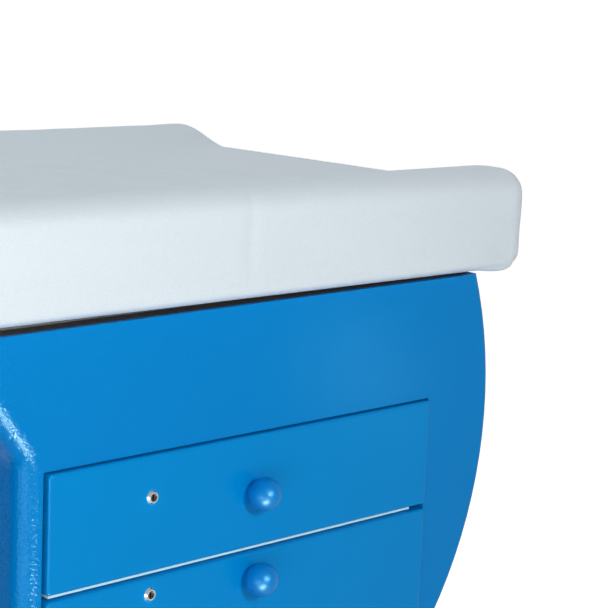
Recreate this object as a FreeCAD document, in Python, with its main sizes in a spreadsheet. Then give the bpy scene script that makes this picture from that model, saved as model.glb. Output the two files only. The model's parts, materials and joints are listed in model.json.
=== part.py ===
import FreeCAD, Part
import math
import os

import Sketcher
from FreeCAD import Placement, Rotation, Vector

# Pediatric examination table: a moulded two-pedestal body with round ends and a kneehole,
# two locking drawers in the right pedestal, and a contoured pad on a tapered riser.
# Millimetres, +X along the table to the drawer end, -Y to the front, +Z up.
# The origin is on the floor, under the middle of the table.

SIZES = {
    # Moulded body, its round ends and its kneehole
    "body_height": 700,
    "body_bottom": 110,
    "body_depth": 580,
    "end_low_angle": 77.75,
    "end_high_angle": 21.3,
    "end_margin": 36,
    "skin": 6,
    "kneehole_half": 200,
    "arch_drop": 68,
    "arch_run": 45,
    "arch_rise": 60,
    "arch_radius": 30,
    "kneehole_edge": 22,
    "outer_edge": 8,
    # Boards inside the body
    "deck_thick": 18,
    "wall_thick": 18,
    "floor_thick": 15,
    "case_floor_thick": 12,
    "case_floor_drop": 6,
    "rail_thick": 20,
    "rail_height": 18,
    "stile_width": 13,
    "post_inset": 26,
    "batten_width": 40,
    "batten_thick": 15,
    "batten_clear": 12,
    "batten_high_angle": 17,
    "arch_batten_length": 260,
    "board_slack": 0.5,
    # Plinths and floor glides
    "plinth_inset": 25,
    "plinth_end_inset": 15,
    "plinth_setback": 40,
    "plinth_board": 18,
    "block_side": 45,
    "block_height": 60,
    "glide_height": 12,
    "glide_diameter": 40,
    "glide_screw": 5,
    "glide_screw_length": 38,
    "glide_screw_head": 10,
    "glide_recess": 6,
    # Drawer opening and drawer fronts
    "stile_land": 1,
    "left_gap": 4,
    "right_gap": 2,
    "top_gap": 2,
    "divider_gap": 6,
    "opening_drop": 139,
    "drawer_width": 556,
    "upper_front_height": 123,
    "lower_front_height": 131,
    "front_thick": 18,
    "front_proud": 5,
    "front_round": 3,
    "front_corner": 4,
    "inner_wall_lap": 1,
    "outer_wall_lap": 11,
    # Divider rail between the drawers
    "divider_height": 12,
    "divider_depth": 9,
    "divider_lip": 3,
    "lip_setback": 2,
    "lip_left_inset": 6,
    "lip_right_inset": 20,
    # Drawer boxes
    "box_length": 465,
    "box_board": 12,
    "box_lift": 6,
    "bottom_thick": 6,
    "bottom_lift": 4,
    "upper_box_height": 90,
    "lower_box_height": 100,
    # Telescopic runners
    "runner_space": 12.7,
    "runner_height": 45,
    "runner_plate": 1.5,
    "runner_slack": 0.3,
    "runner_length": 440,
    "runner_setback": 2,
    # Knobs
    "knob_diameter": 36,
    "knob_neck": 18,
    "knob_neck_length": 2,
    "knob_rim": 17,
    "knob_depth": 35,
    "knob_from_left": 276,
    "upper_knob_drop": 61,
    "lower_knob_drop": 26,
    "knob_screw": 4,
    "knob_screw_grip": 12,
    "screw_head": 9,
    "screw_head_thick": 3,
    "screw_slack": 0.1,
    # Cam locks
    "lock_from_left": 132.5,
    "upper_lock_drop": 44,
    "lower_lock_drop": 18,
    "lock_flange": 14.6,
    "lock_face": 11.4,
    "lock_flange_thick": 2.5,
    "lock_barrel": 12,
    "lock_nut": 20,
    "lock_nut_thick": 4,
    "lock_plug": 8.4,
    "plug_slack": 0.08,
    "plug_recess": 1.4,
    "key_slot": 6,
    "key_slot_width": 2,
    "key_slot_depth": 6,
    "cam_gap": 0.5,
    "cam_thick": 2,
    "cam_width": 12,
    "cam_catch": 8,
    "cam_tenon": 5,
    "cam_nut": 9,
    "cam_nut_thick": 3.5,
    # Pad and its tapered riser
    "pad_side_overhang": 20,
    "pad_end_overhang": 38,
    "pad_thick": 117,
    "dish_depth": 22,
    "crest_from_edge": 76,
    "dish_slope": 104,
    "pad_side_radius": 250,
    "pad_top_round": 26,
    "pad_end_round": 22,
    "pad_bottom_round": 9,
    "cover_thick": 1.5,
    "cover_hem": 40,
    "pad_board_thick": 15,
    "pad_board_inset": 20,
    "pad_tilt": 0.42,
    "riser_low": 7,
    "riser_side_clear": 8,
    "riser_end_clear": 26,
    "riser_rail": 72,
    # Bolts that hold the pad down
    "bolt_span": 700,
    "bolt": 8,
    "bolt_hole": 9,
    "bolt_head": 15,
    "bolt_head_thick": 6,
    "nut_barrel": 11,
    "nut_flange": 22,
    "nut_flange_thick": 1.5,
    "nut_recess": 2.5,
    "nut_length": 10,
}

doc = FreeCAD.newDocument("examination_table")
dims = doc.addObject("Spreadsheet::Sheet", "dims")
for row, (alias, size) in enumerate(SIZES.items(), start=1):
    dims.set(f"A{row}", alias)
    dims.set(f"B{row}", str(size))
    dims.setAlias(f"B{row}", alias)
doc.recompute()

# Places that several pieces share, as expressions of the driving sizes
FRONT = "(-dims.body_depth / 2)"
REAR = "(dims.body_depth / 2)"
FRONT_INSIDE = f"({FRONT} + dims.skin)"
REAR_INSIDE = f"({REAR} - dims.skin)"
RAIL_BACK = f"({FRONT_INSIDE} + dims.rail_thick)"

OPENING_LEFT = "(dims.kneehole_half + dims.kneehole_edge + dims.stile_land)"
DRAWER_LEFT = f"({OPENING_LEFT} + dims.left_gap)"
DRAWER_RIGHT = f"({DRAWER_LEFT} + dims.drawer_width)"
OPENING_RIGHT = f"({DRAWER_RIGHT} + dims.right_gap)"
OPENING_TOP = "(dims.body_height - dims.opening_drop)"
UPPER_TOP = f"({OPENING_TOP} - dims.top_gap)"
UPPER_BOTTOM = f"({UPPER_TOP} - dims.upper_front_height)"
LOWER_TOP = f"({UPPER_BOTTOM} - dims.divider_gap)"
LOWER_BOTTOM = f"({LOWER_TOP} - dims.lower_front_height)"
OPENING_BOTTOM = f"({LOWER_BOTTOM} - dims.top_gap)"
DIVIDER_MIDDLE = f"(({UPPER_BOTTOM} + {LOWER_TOP}) / 2)"

END_RADIUS = (
    "((dims.body_height - dims.body_bottom)"
    " / (sin(dims.end_low_angle) + sin(dims.end_high_angle)))"
)
APEX = f"(dims.body_bottom + {END_RADIUS} * sin(dims.end_low_angle))"
END_REACH = f"sqrt(max({END_RADIUS}^2 - ({APEX} - {OPENING_BOTTOM})^2; 0))"
END_CENTRE = f"({OPENING_RIGHT} + dims.end_margin - {END_REACH})"
BODY_HALF = f"({END_CENTRE} + {END_RADIUS})"
BOTTOM_END = f"({END_CENTRE} + {END_RADIUS} * cos(dims.end_low_angle))"
TOP_END = f"({END_CENTRE} + {END_RADIUS} * cos(dims.end_high_angle))"
ROOM_RADIUS = f"({END_RADIUS} - dims.skin)"
BOARD_RADIUS = f"({ROOM_RADIUS} - max(dims.outer_edge - dims.skin; 0) - dims.board_slack)"

ARCH_TOP = "(dims.body_height - dims.arch_drop)"
KNEEHOLE_INSIDE = "(dims.kneehole_half + dims.skin)"
CASE_LEFT = f"({OPENING_LEFT} + dims.inner_wall_lap)"
CASE_RIGHT = f"({OPENING_RIGHT} - dims.outer_wall_lap)"
CASE_BOTTOM = f"({OPENING_BOTTOM} - dims.rail_height)"
DECK_BOTTOM = "(dims.body_height - dims.deck_thick)"
FLOOR_BOTTOM = "(dims.body_bottom + dims.skin * sin(dims.end_low_angle))"
FLOOR_TOP = f"({FLOOR_BOTTOM} + dims.floor_thick)"
FLOOR_END = f"({END_CENTRE} + {ROOM_RADIUS} * cos(dims.end_low_angle) - dims.board_slack)"
MOUTH_END = f"({END_CENTRE} + sqrt(max({ROOM_RADIUS}^2 - ({APEX} - dims.body_bottom)^2; 0)))"
POST_RIGHT = f"({FLOOR_END} - dims.post_inset)"
POST_LEFT = f"({POST_RIGHT} - dims.wall_thick)"

FACE = f"({FRONT} - dims.front_proud)"
FACE_BACK = f"({FACE} + dims.front_thick)"
PAD_HALF = f"({BODY_HALF} + dims.pad_end_overhang)"
PAD_SIDE = f"({REAR} + dims.pad_side_overhang)"
RISER_HALF = f"({PAD_HALF} - dims.cover_hem - dims.riser_end_clear)"
RISER_SIDE = f"({PAD_SIDE} - dims.cover_hem - dims.riser_side_clear)"

nodes = {}


def value(expression):
    """The number that an expression of the driving sizes gives."""
    return float(dims.evalExpression(expression))


def bind(thing, **sizes):
    """Tie properties of an object to expressions of the driving sizes."""
    for name, expression in sizes.items():
        thing.setExpression(name, expression)


def place(thing, x="0", y="0", z="0", turn=None):
    """Set an object's place by expressions, and its turn as (axis, degrees)."""
    if turn:
        thing.Placement = Placement(Vector(), Rotation(*turn))
    bind(thing, **{"Placement.Base.x": x, "Placement.Base.y": y, "Placement.Base.z": z})


def keep(label, thing):
    """Name an object as a finished sub-part."""
    thing.Label = label
    nodes[label] = thing
    return thing


def box(name, x, y, z):
    """A block between pairs of expressions along X, Y and Z."""
    block = doc.addObject("Part::Box", name)
    bind(
        block,
        Length=f"({x[1]}) - ({x[0]})",
        Width=f"({y[1]}) - ({y[0]})",
        Height=f"({z[1]}) - ({z[0]})",
    )
    place(block, x[0], y[0], z[0])
    return block


UP = None
BACK = (Vector(1, 0, 0), -90)


def rod(name, diameter, length, x="0", y="0", z="0", turn=UP):
    """A round bar that starts at a point and runs up, or to the back."""
    bar = doc.addObject("Part::Cylinder", name)
    bind(bar, Radius=f"({diameter}) / 2", Height=length)
    place(bar, x, y, z, turn)
    return bar


def taper(name, near, far, length, x, y, z):
    """A round bar that widens or narrows from one diameter to another on its way to the back."""
    bar = doc.addObject("Part::Cone", name)
    bind(bar, Radius1=f"({near}) / 2", Radius2=f"({far}) / 2", Height=length)
    place(bar, x, y, z, BACK)
    return bar


def hexagon(name, across_corners, length, x, y, z):
    """A hexagonal bar that runs to the back."""
    bar = doc.addObject("Part::Prism", name)
    bar.Polygon = 6
    bind(bar, Circumradius=f"({across_corners}) / 2", Height=length)
    place(bar, x, y, z, BACK)
    return bar


def cut(name, base, tool):
    """The base with the tool taken out of it."""
    result = doc.addObject("Part::Cut", name)
    result.Base = base
    result.Tool = tool
    return result


def fuse(name, *pieces):
    """Several overlapping or touching solids as one."""
    result = doc.addObject("Part::MultiFuse", name)
    result.Shapes = list(pieces)
    return result


def common(name, base, tool):
    """What the base and the tool share."""
    result = doc.addObject("Part::Common", name)
    result.Base = base
    result.Tool = tool
    return result


def group(name, pieces):
    """Separate solids of one kind, kept together."""
    result = doc.addObject("Part::Compound", name)
    result.Links = list(pieces)
    return result


def mirrored(side, near, far):
    """A span along X on the right side (1) or the left side (-1)."""
    if side > 0:
        return near, far
    return f"-({far})", f"-({near})"


def start_body(label):
    """An empty body that becomes a sub-part."""
    return keep(label, doc.addObject("PartDesign::Body", label))


def start_sketch(body, role, name):
    """A sketch on one of the body's own origin planes."""
    plane = next(item for item in body.Origin.OriginFeatures if item.Role == role)
    sketch = body.newObject("Sketcher::SketchObject", name)
    sketch.AttachmentSupport = [(plane, "")]
    sketch.MapMode = "FlatFace"
    return sketch


def hold(sketch, kind, geometry, point, expression):
    """Pin one coordinate of a point to an expression, from the sketch's origin."""
    origin, origin_point = -1, 1
    rule = Sketcher.Constraint(kind, origin, origin_point, geometry, point, value(expression))
    bind(sketch, **{f"Constraints[{sketch.addConstraint(rule)}]": expression})


def draw_outline(sketch, corners):
    """A closed outline through corners given as (x, y), or as (x, y, radius, side) where the
    run to the next corner is an arc with its centre on the left (1) or the right (-1)."""
    points = [Vector(value(corner[0]), value(corner[1]), 0) for corner in corners]
    starts = []
    for index, corner in enumerate(corners):
        here = points[index]
        there = points[(index + 1) % len(points)]
        if len(corner) == 2:
            sketch.addGeometry(Part.LineSegment(here, there), False)
            starts.append(1)
            continue
        radius, side = value(corner[2]), corner[3]
        chord = there - here
        across = Vector(-chord.y, chord.x, 0).normalize() * side
        centre = (here + there) * 0.5 + across * math.sqrt(radius**2 - chord.Length**2 / 4)
        middle = centre - across * radius
        ends = (here, there) if side > 0 else (there, here)
        sketch.addGeometry(Part.Arc(ends[0], middle, ends[1]), False)
        starts.append(1 if side > 0 else 2)
    for index, corner in enumerate(corners):
        after = (index + 1) % len(corners)
        rule = Sketcher.Constraint("Coincident", index, 3 - starts[index], after, starts[after])
        sketch.addConstraint(rule)
    for index, corner in enumerate(corners):
        hold(sketch, "DistanceX", index, starts[index], corner[0])
        hold(sketch, "DistanceY", index, starts[index], corner[1])
        if len(corner) > 2:
            rule = Sketcher.Constraint("Radius", index, value(corner[2]))
            bind(sketch, **{f"Constraints[{sketch.addConstraint(rule)}]": corner[2]})


def draw_circle(sketch, x, y, diameter):
    """A circle whose centre and size follow expressions."""
    centre = Vector(value(x), value(y), 0)
    radius = value(f"({diameter}) / 2")
    index = sketch.addGeometry(Part.Circle(centre, Vector(0, 0, 1), radius), False)
    hold(sketch, "DistanceX", index, 3, x)
    hold(sketch, "DistanceY", index, 3, y)
    rule = Sketcher.Constraint("Radius", index, radius)
    bind(sketch, **{f"Constraints[{sketch.addConstraint(rule)}]": f"({diameter}) / 2"})


def pad(body, name, sketch, length, reverse=False):
    """A sketch pulled out into a solid."""
    feature = body.newObject("PartDesign::Pad", name)
    feature.Profile = sketch
    feature.Reversed = reverse
    bind(feature, Length=length)
    doc.recompute()
    return feature


def pocket(body, name, sketch, reverse=False):
    """A sketch cut right through a solid."""
    before = body.Shape.Volume
    feature = body.newObject("PartDesign::Pocket", name)
    feature.Profile = sketch
    feature.Type = "ThroughAll"
    feature.Reversed = reverse
    doc.recompute()
    if not body.Shape.Volume < before:
        raise RuntimeError(f"{body.Label}: {name} cuts nothing")
    return feature


def round_edges(body, name, base, test, radius):
    """Round the edges of a feature that pass a test."""
    edges = [f"Edge{index}" for index, edge in enumerate(base.Shape.Edges, start=1) if test(edge)]
    feature = body.newObject("PartDesign::Fillet", name)
    feature.Base = (base, edges)
    bind(feature, Radius=radius)
    doc.recompute()
    return feature


def close(one, other):
    return abs(one - other) < 1e-5


def lies_at_y(edge, y):
    return all(close(vertex.Point.y, y) for vertex in edge.Vertexes)


# Body: a front and a rear moulding that meet in the middle, boards inside, plinths below


def moulding(label, side):
    """One half of the body: a hollow moulding, open at the top, the bottom and the seam."""
    body = start_body(label)
    sketch = start_sketch(body, "XZ_Plane", f"{label}_outline")
    lean = "atan(dims.arch_run / dims.arch_rise)"
    low_run = f"dims.arch_radius * tan({lean} / 2)"
    high_run = f"dims.arch_radius * tan(45 deg - {lean} / 2)"
    spring = f"{ARCH_TOP} - dims.arch_rise"
    slope_foot = f"dims.kneehole_half - {low_run} * sin({lean})"
    slope_head = f"dims.kneehole_half - dims.arch_run + {high_run} * sin({lean})"
    crown = f"dims.kneehole_half - dims.arch_run - {high_run}"
    wall_top = f"{spring} - {low_run}"
    foot_level = f"{spring} + {low_run} * cos({lean})"
    head_level = f"{ARCH_TOP} - {high_run} * cos({lean})"
    draw_outline(
        sketch,
        [
            ("dims.kneehole_half", "dims.body_bottom"),
            (BOTTOM_END, "dims.body_bottom", END_RADIUS, 1),
            (TOP_END, "dims.body_height"),
            (f"-{TOP_END}", "dims.body_height", END_RADIUS, 1),
            (f"-{BOTTOM_END}", "dims.body_bottom"),
            ("-dims.kneehole_half", "dims.body_bottom"),
            ("-dims.kneehole_half", wall_top, "dims.arch_radius", -1),
            (f"-({slope_foot})", foot_level),
            (f"-({slope_head})", head_level, "dims.arch_radius", -1),
            (f"-({crown})", ARCH_TOP),
            (crown, ARCH_TOP, "dims.arch_radius", -1),
            (slope_head, head_level),
            (slope_foot, foot_level, "dims.arch_radius", -1),
            ("dims.kneehole_half", wall_top),
        ],
    )
    block = pad(body, f"{label}_block", sketch, "dims.body_depth / 2", reverse=side > 0)
    face = side * value("dims.body_depth") / 2
    half, top, bottom = value("dims.kneehole_half"), value("dims.body_height"), value("dims.body_bottom")

    def kneehole_edge(edge):
        middle = edge.CenterOfMass
        inside = abs(middle.x) < half + 1 and middle.z > bottom + 1
        return lies_at_y(edge, face) and inside and middle.z < top - 1

    def outer_edge(edge):
        beyond = min(abs(vertex.Point.x) for vertex in edge.Vertexes) > half + 1
        return lies_at_y(edge, face) and edge.Curve.TypeId == "Part::GeomCircle" and beyond

    def open_side(surface):
        middle = surface.CenterOfMass
        return close(middle.y, 0) or close(middle.z, top) or close(middle.z, bottom)

    soft = round_edges(body, f"{label}_kneehole", block, kneehole_edge, "dims.kneehole_edge")
    soft = round_edges(body, f"{label}_ends", soft, outer_edge, "dims.outer_edge")
    faces = [f"Face{n}" for n, surface in enumerate(soft.Shape.Faces, start=1) if open_side(surface)]
    hollow = body.newObject("PartDesign::Thickness", f"{label}_skin")
    hollow.Base = (soft, faces)
    hollow.Reversed = True
    hollow.Mode = "Skin"
    hollow.Join = "Intersection"
    bind(hollow, Value="dims.skin")
    doc.recompute()
    return body


def front_moulding():
    """The front half has the opening for both drawers."""
    body = moulding("front_shell", -1)
    sketch = start_sketch(body, "XZ_Plane", "drawer_opening")
    draw_outline(
        sketch,
        [
            (OPENING_LEFT, OPENING_BOTTOM),
            (OPENING_RIGHT, OPENING_BOTTOM),
            (OPENING_RIGHT, OPENING_TOP),
            (OPENING_LEFT, OPENING_TOP),
        ],
    )
    pocket(body, "drawer_opening_cut", sketch, reverse=True)


def scribed(label, block):
    """A board trimmed to the inside of the round end at the drawers."""
    round_room = rod(
        f"{label}_round_room", f"2 * {BOARD_RADIUS}", "dims.body_depth",
        END_CENTRE, FRONT, APEX, BACK,
    )
    inner_room = box(
        f"{label}_inner_room", (KNEEHOLE_INSIDE, END_CENTRE), (FRONT, REAR),
        (f"{APEX} - {BOARD_RADIUS}", f"{APEX} + {BOARD_RADIUS}"),
    )
    room = fuse(f"{label}_room", round_room, inner_room)
    keep(label, common(f"{label}_trimmed", block, room))


def seam_batten(label, side):
    """A curved batten behind the seam of the two mouldings at one end."""
    body = start_body(label)
    sketch = start_sketch(body, "XZ_Plane", f"{label}_outline")
    inner_radius = f"({ROOM_RADIUS} - dims.batten_thick)"

    def corner(radius, angle, upward):
        x = f"{side} * ({END_CENTRE} + {radius} * cos({angle}))"
        return x, f"{APEX} + {upward} * {radius} * sin({angle})"

    wall = f"({CASE_RIGHT} + dims.wall_thick + dims.batten_clear)"
    low = f"acos(min(({wall} - {END_CENTRE}) / {inner_radius}; 1))", -1
    high = "dims.batten_high_angle", 1
    draw_outline(
        sketch,
        [
            (*corner(ROOM_RADIUS, *low), ROOM_RADIUS, side),
            corner(ROOM_RADIUS, *high),
            (*corner(inner_radius, *high), inner_radius, -side),
            corner(inner_radius, *low),
        ],
    )
    feature = pad(body, f"{label}_board", sketch, "dims.batten_width")
    feature.Midplane = True
    doc.recompute()


def body_boards(drills):
    """Boards that carry the deck and the drawers, and back the mouldings."""
    depth = (FRONT_INSIDE, REAR_INSIDE)
    inner_depth = (f"{FRONT} + dims.kneehole_edge", f"{REAR} - dims.kneehole_edge")
    high = (FLOOR_TOP, DECK_BOTTOM)
    ends = f"({END_CENTRE} + sqrt({BOARD_RADIUS}^2 - (dims.body_height - {APEX})^2))"
    deck = box("deck_slab", (f"-{ends}", ends), depth, (DECK_BOTTOM, "dims.body_height"))
    keep("deck_board", cut("deck_drilled", deck, drills))
    for side, name in ((-1, "left"), (1, "right")):
        inner = mirrored(side, KNEEHOLE_INSIDE, CASE_LEFT)
        keep(f"{name}_inner_wall", box(f"{name}_inner_wall", inner, inner_depth, high))
        floor = mirrored(side, KNEEHOLE_INSIDE, FLOOR_END)
        keep(f"{name}_floor", box(f"{name}_floor", floor, inner_depth, (FLOOR_BOTTOM, FLOOR_TOP)))
        seam_batten(f"{name}_seam_batten", side)
    keep("left_outer_wall", box("left_outer_wall", mirrored(-1, POST_LEFT, POST_RIGHT), depth, high))
    post = box("right_post", (POST_LEFT, POST_RIGHT), depth, (FLOOR_TOP, CASE_BOTTOM))
    keep("right_post", post)
    wall = box(
        "outer_wall_board", (CASE_RIGHT, f"{CASE_RIGHT} + dims.wall_thick"),
        (RAIL_BACK, REAR_INSIDE), (CASE_BOTTOM, DECK_BOTTOM),
    )
    scribed("right_outer_wall", wall)
    floor_top = f"{OPENING_BOTTOM} - dims.case_floor_drop"
    case_floor = box(
        "case_floor", (CASE_LEFT, CASE_RIGHT), (RAIL_BACK, f"{REAR} - dims.kneehole_edge"),
        (f"{floor_top} - dims.case_floor_thick", floor_top),
    )
    keep("case_floor", case_floor)
    batten = box(
        "arch_batten", ("-dims.arch_batten_length / 2", "dims.arch_batten_length / 2"),
        ("-dims.batten_width / 2", "dims.batten_width / 2"),
        (f"{ARCH_TOP} + dims.skin", f"{ARCH_TOP} + dims.skin + dims.batten_thick"),
    )
    keep("arch_batten", batten)


def opening_frame():
    """Rails and a stile behind the skin round the drawer opening, and the divider rail."""
    depth = (FRONT_INSIDE, RAIL_BACK)
    end = f"{OPENING_RIGHT} + dims.stile_width"
    scribed("top_rail", box("top_rail_board", (CASE_LEFT, end), depth, (OPENING_TOP, DECK_BOTTOM)))
    bottom = box("bottom_rail_board", (CASE_LEFT, end), depth, (CASE_BOTTOM, OPENING_BOTTOM))
    scribed("bottom_rail", bottom)
    stile = box("stile_board", (OPENING_RIGHT, end), depth, (OPENING_BOTTOM, OPENING_TOP))
    scribed("right_stile", stile)
    rail_front = f"{RAIL_BACK} - dims.divider_depth"
    rail = box(
        "divider_bar", (CASE_LEFT, CASE_RIGHT), (rail_front, RAIL_BACK),
        (f"{DIVIDER_MIDDLE} - dims.divider_height / 2", f"{DIVIDER_MIDDLE} + dims.divider_height / 2"),
    )
    lip = box(
        "divider_lip_bar",
        (f"{DRAWER_LEFT} + dims.lip_left_inset", f"{DRAWER_RIGHT} - dims.lip_right_inset"),
        (f"{FRONT} + dims.lip_setback", RAIL_BACK),
        (f"{DIVIDER_MIDDLE} - dims.divider_lip / 2", f"{DIVIDER_MIDDLE} + dims.divider_lip / 2"),
    )
    keep("divider_rail", fuse("divider_joined", rail, lip))


def plinths():
    """Two recessed plinths with corner blocks, on glides that are screwed up into the blocks."""
    blocks, glides, screws = [], [], []
    near = "(dims.kneehole_half + dims.plinth_inset)"
    far = f"({MOUTH_END} - dims.plinth_end_inset)"
    reach = f"({REAR} - dims.plinth_setback)"
    height = ("dims.glide_height", FLOOR_BOTTOM)
    board = "dims.plinth_board"
    for side, name in ((-1, "left"), (1, "right")):
        boards = [
            box(f"{name}_plinth_{row}", mirrored(side, near, far),
                mirrored(sign, f"{reach} - {board}", reach), height)
            for row, sign in (("front", -1), ("rear", 1))
        ]
        between = (f"-({reach} - {board})", f"{reach} - {board}")
        boards += [
            box(f"{name}_plinth_{end}", mirrored(side, start, f"{start} + {board}"), between, height)
            for end, start in (("inner", near), ("outer", f"({far} - {board})"))
        ]
        keep(f"{name}_plinth", group(f"{name}_plinth_boards", boards))
        for end, spot in (("in", f"{near} + {board}"), ("out", f"{far} - {board} - dims.block_side")):
            for row, sign in (("front", -1), ("rear", 1)):
                tag = f"{name}_{row}_{end}"
                block_x = mirrored(side, spot, f"{spot} + dims.block_side")
                block_y = mirrored(sign, f"{reach} - {board} - dims.block_side", f"{reach} - {board}")
                top = "dims.glide_height + dims.block_height"
                x, y = f"({block_x[0]} + {block_x[1]}) / 2", f"({block_y[0]} + {block_y[1]}) / 2"
                corner = box(f"block_{tag}", block_x, block_y, ("dims.glide_height", top))
                hole = rod(
                    f"block_hole_{tag}", "dims.glide_screw + 2 * dims.screw_slack",
                    "dims.glide_screw_length", x, y, "dims.glide_recess",
                )
                blocks.append(cut(f"block_drilled_{tag}", corner, hole))
                glides.append(glide(tag, x, y))
                screws.append(glide_screw(tag, x, y))
    keep("plinth_blocks", group("plinth_block_set", blocks))
    keep("floor_glides", group("floor_glide_set", glides))
    keep("glide_screws", group("glide_screw_set", screws))


def glide(tag, x, y):
    """A round glide with a counterbored screw hole."""
    disc = rod(f"glide_disc_{tag}", "dims.glide_diameter", "dims.glide_height", x, y)
    bore = rod(f"glide_bore_{tag}", "dims.glide_screw + 2 * dims.screw_slack", "dims.glide_height", x, y)
    head = "dims.glide_screw_head + 2 * dims.screw_slack"
    recess = rod(f"glide_recess_{tag}", head, "dims.glide_recess", x, y)
    return cut(f"glide_{tag}", disc, fuse(f"glide_holes_{tag}", bore, recess))


def glide_screw(tag, x, y):
    """A screw whose head is sunk in the glide."""
    head_low = "dims.glide_recess - dims.screw_head_thick"
    head = rod(f"glide_head_{tag}", "dims.glide_screw_head", "dims.screw_head_thick", x, y, head_low)
    length = "dims.glide_screw_length - dims.screw_head_thick"
    shank = rod(f"glide_shank_{tag}", "dims.glide_screw", length, x, y, "dims.glide_recess")
    return fuse(f"glide_screw_{tag}", head, shank)


# Drawers: front, box, knob, cam lock and telescopic runners


def drawer_front(label, top, height, knob_drop, lock_drop):
    """A thick front with round edges, bored for the knob screw and the lock."""
    body = start_body(label)
    sketch = start_sketch(body, "XZ_Plane", f"{label}_outline")
    width = "dims.drawer_width"
    draw_outline(sketch, [("0", "0"), (width, "0"), (width, height), ("0", height)])
    slab = pad(body, f"{label}_slab", sketch, "dims.front_thick", reverse=True)

    def corner(edge):
        ends = [vertex.Point for vertex in edge.Vertexes]
        return not close(ends[0].y, ends[1].y)

    soft = round_edges(body, f"{label}_corners", slab, corner, "dims.front_corner")
    round_edges(body, f"{label}_edges", soft, lambda edge: lies_at_y(edge, 0), "dims.front_round")
    holes = start_sketch(body, "XZ_Plane", f"{label}_holes")
    draw_circle(
        holes, "dims.knob_from_left", f"{height} - {knob_drop}", "dims.knob_screw + 2 * dims.screw_slack"
    )
    draw_circle(
        holes, "dims.lock_from_left", f"{height} - {lock_drop}", "dims.lock_barrel + 2 * dims.screw_slack"
    )
    pocket(body, f"{label}_bores", holes)
    place(body, DRAWER_LEFT, FACE, f"{top} - {height}")


def drawer_box(name, bottom, height):
    """Two sides, a back and a bottom panel behind the front."""
    board = "dims.box_board"
    left, right = f"({CASE_LEFT} + dims.runner_space)", f"({CASE_RIGHT} - dims.runner_space)"
    back = f"({FACE_BACK} + dims.box_length)"
    inside = (f"{left} + {board}", f"{right} - {board}")
    level = (bottom, f"{bottom} + {height}")
    panel = f"({bottom} + dims.bottom_lift)"
    depth = (FACE_BACK, back)
    keep(f"{name}_left_side", box(f"{name}_left_side", (left, inside[0]), depth, level))
    keep(f"{name}_right_side", box(f"{name}_right_side", (inside[1], right), depth, level))
    panel_top = f"{panel} + dims.bottom_thick"
    keep(f"{name}_bottom", box(f"{name}_bottom", inside, depth, (panel, panel_top)))
    back_board = box(f"{name}_back", inside, (f"{back} - {board}", back), (panel_top, level[1]))
    keep(f"{name}_back", back_board)


def runner_channel(name, side, inset, height, middle):
    """One U-shaped runner member, open towards the drawer, on the left (1) or right (-1) wall."""
    wall = CASE_LEFT if side > 0 else CASE_RIGHT
    plate = "dims.runner_plate"
    reach = "dims.runner_space - 2 * dims.runner_slack"

    def span(near, far):
        edges = (f"{wall} + {side} * ({near})", f"{wall} + {side} * ({far})")
        return edges if side > 0 else edges[::-1]

    start = f"({RAIL_BACK} + dims.runner_setback)"
    depth = (start, f"{start} + dims.runner_length")
    low, high = f"{middle} - ({height}) / 2", f"{middle} + ({height}) / 2"
    bar = box(f"{name}_bar", span(inset, reach), depth, (low, high))
    room = box(
        f"{name}_room", span(f"{inset} + {plate}", "dims.runner_space"), depth,
        (f"{low} + {plate}", f"{high} - {plate}"),
    )
    return cut(name, bar, room)


def runner_tongue(name, side, inset, height, middle):
    """The runner member on the drawer side, a bar that slides in the middle channel."""
    wall = CASE_LEFT if side > 0 else CASE_RIGHT
    edges = (f"{wall} + {side} * ({inset})", f"{wall} + {side} * dims.runner_space")
    start = f"({RAIL_BACK} + dims.runner_setback)"
    return box(
        name, edges if side > 0 else edges[::-1], (start, f"{start} + dims.runner_length"),
        (f"{middle} - ({height}) / 2", f"{middle} + ({height}) / 2"),
    )


def runners(name, middle):
    """Fixed, middle and drawer members of the pair of runners of one drawer."""
    step = "(dims.runner_plate + dims.runner_slack)"
    middle_height = f"(dims.runner_height - 2 * {step})"
    tongue_height = f"({middle_height} - 2 * {step})"
    sides = (("left", 1), ("right", -1))
    fixed = [runner_channel(f"{name}_fixed_{tag}", side, "0", "dims.runner_height", middle)
             for tag, side in sides]
    moving = [runner_channel(f"{name}_middle_{tag}", side, step, middle_height, middle)
              for tag, side in sides]
    tongues = [runner_tongue(f"{name}_tongue_{tag}", side, f"2 * {step}", tongue_height, middle)
               for tag, side in sides]
    keep(f"{name}_runner_rails", group(f"{name}_rail_pair", fixed))
    keep(f"{name}_runner_slides", group(f"{name}_slide_pair", moving))
    keep(f"{name}_runner_tongues", group(f"{name}_tongue_pair", tongues))


def knob(label, x, z):
    """A ball knob on a short neck, turned about its own axis, with a blind screw hole."""
    body = start_body(label)
    sketch = start_sketch(body, "XY_Plane", f"{label}_profile")
    neck, rim = "dims.knob_neck / 2", "dims.knob_diameter / 2"
    bore = "dims.knob_screw / 2 + dims.screw_slack"
    grip = "-dims.knob_screw_grip"
    dome = "dims.knob_depth - dims.knob_rim"
    dome_radius = f"((({rim})^2 + ({dome})^2) / (2 * ({dome})))"
    flare = "dims.knob_rim - dims.knob_neck_length"
    flare_radius = f"((({flare})^2 + ({rim} - {neck})^2) / (2 * ({rim} - {neck})))"
    draw_outline(
        sketch,
        [
            (bore, "0"),
            (bore, grip),
            ("0", grip),
            ("0", "-dims.knob_depth", dome_radius, 1),
            (rim, "-dims.knob_rim", flare_radius, 1),
            (neck, "-dims.knob_neck_length"),
            (neck, "0"),
        ],
    )
    turned = body.newObject("PartDesign::Revolution", f"{label}_turned")
    turned.Profile = sketch
    turned.ReferenceAxis = (sketch, ["V_Axis"])
    turned.Angle = 360
    place(body, x, FACE, z)


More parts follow.
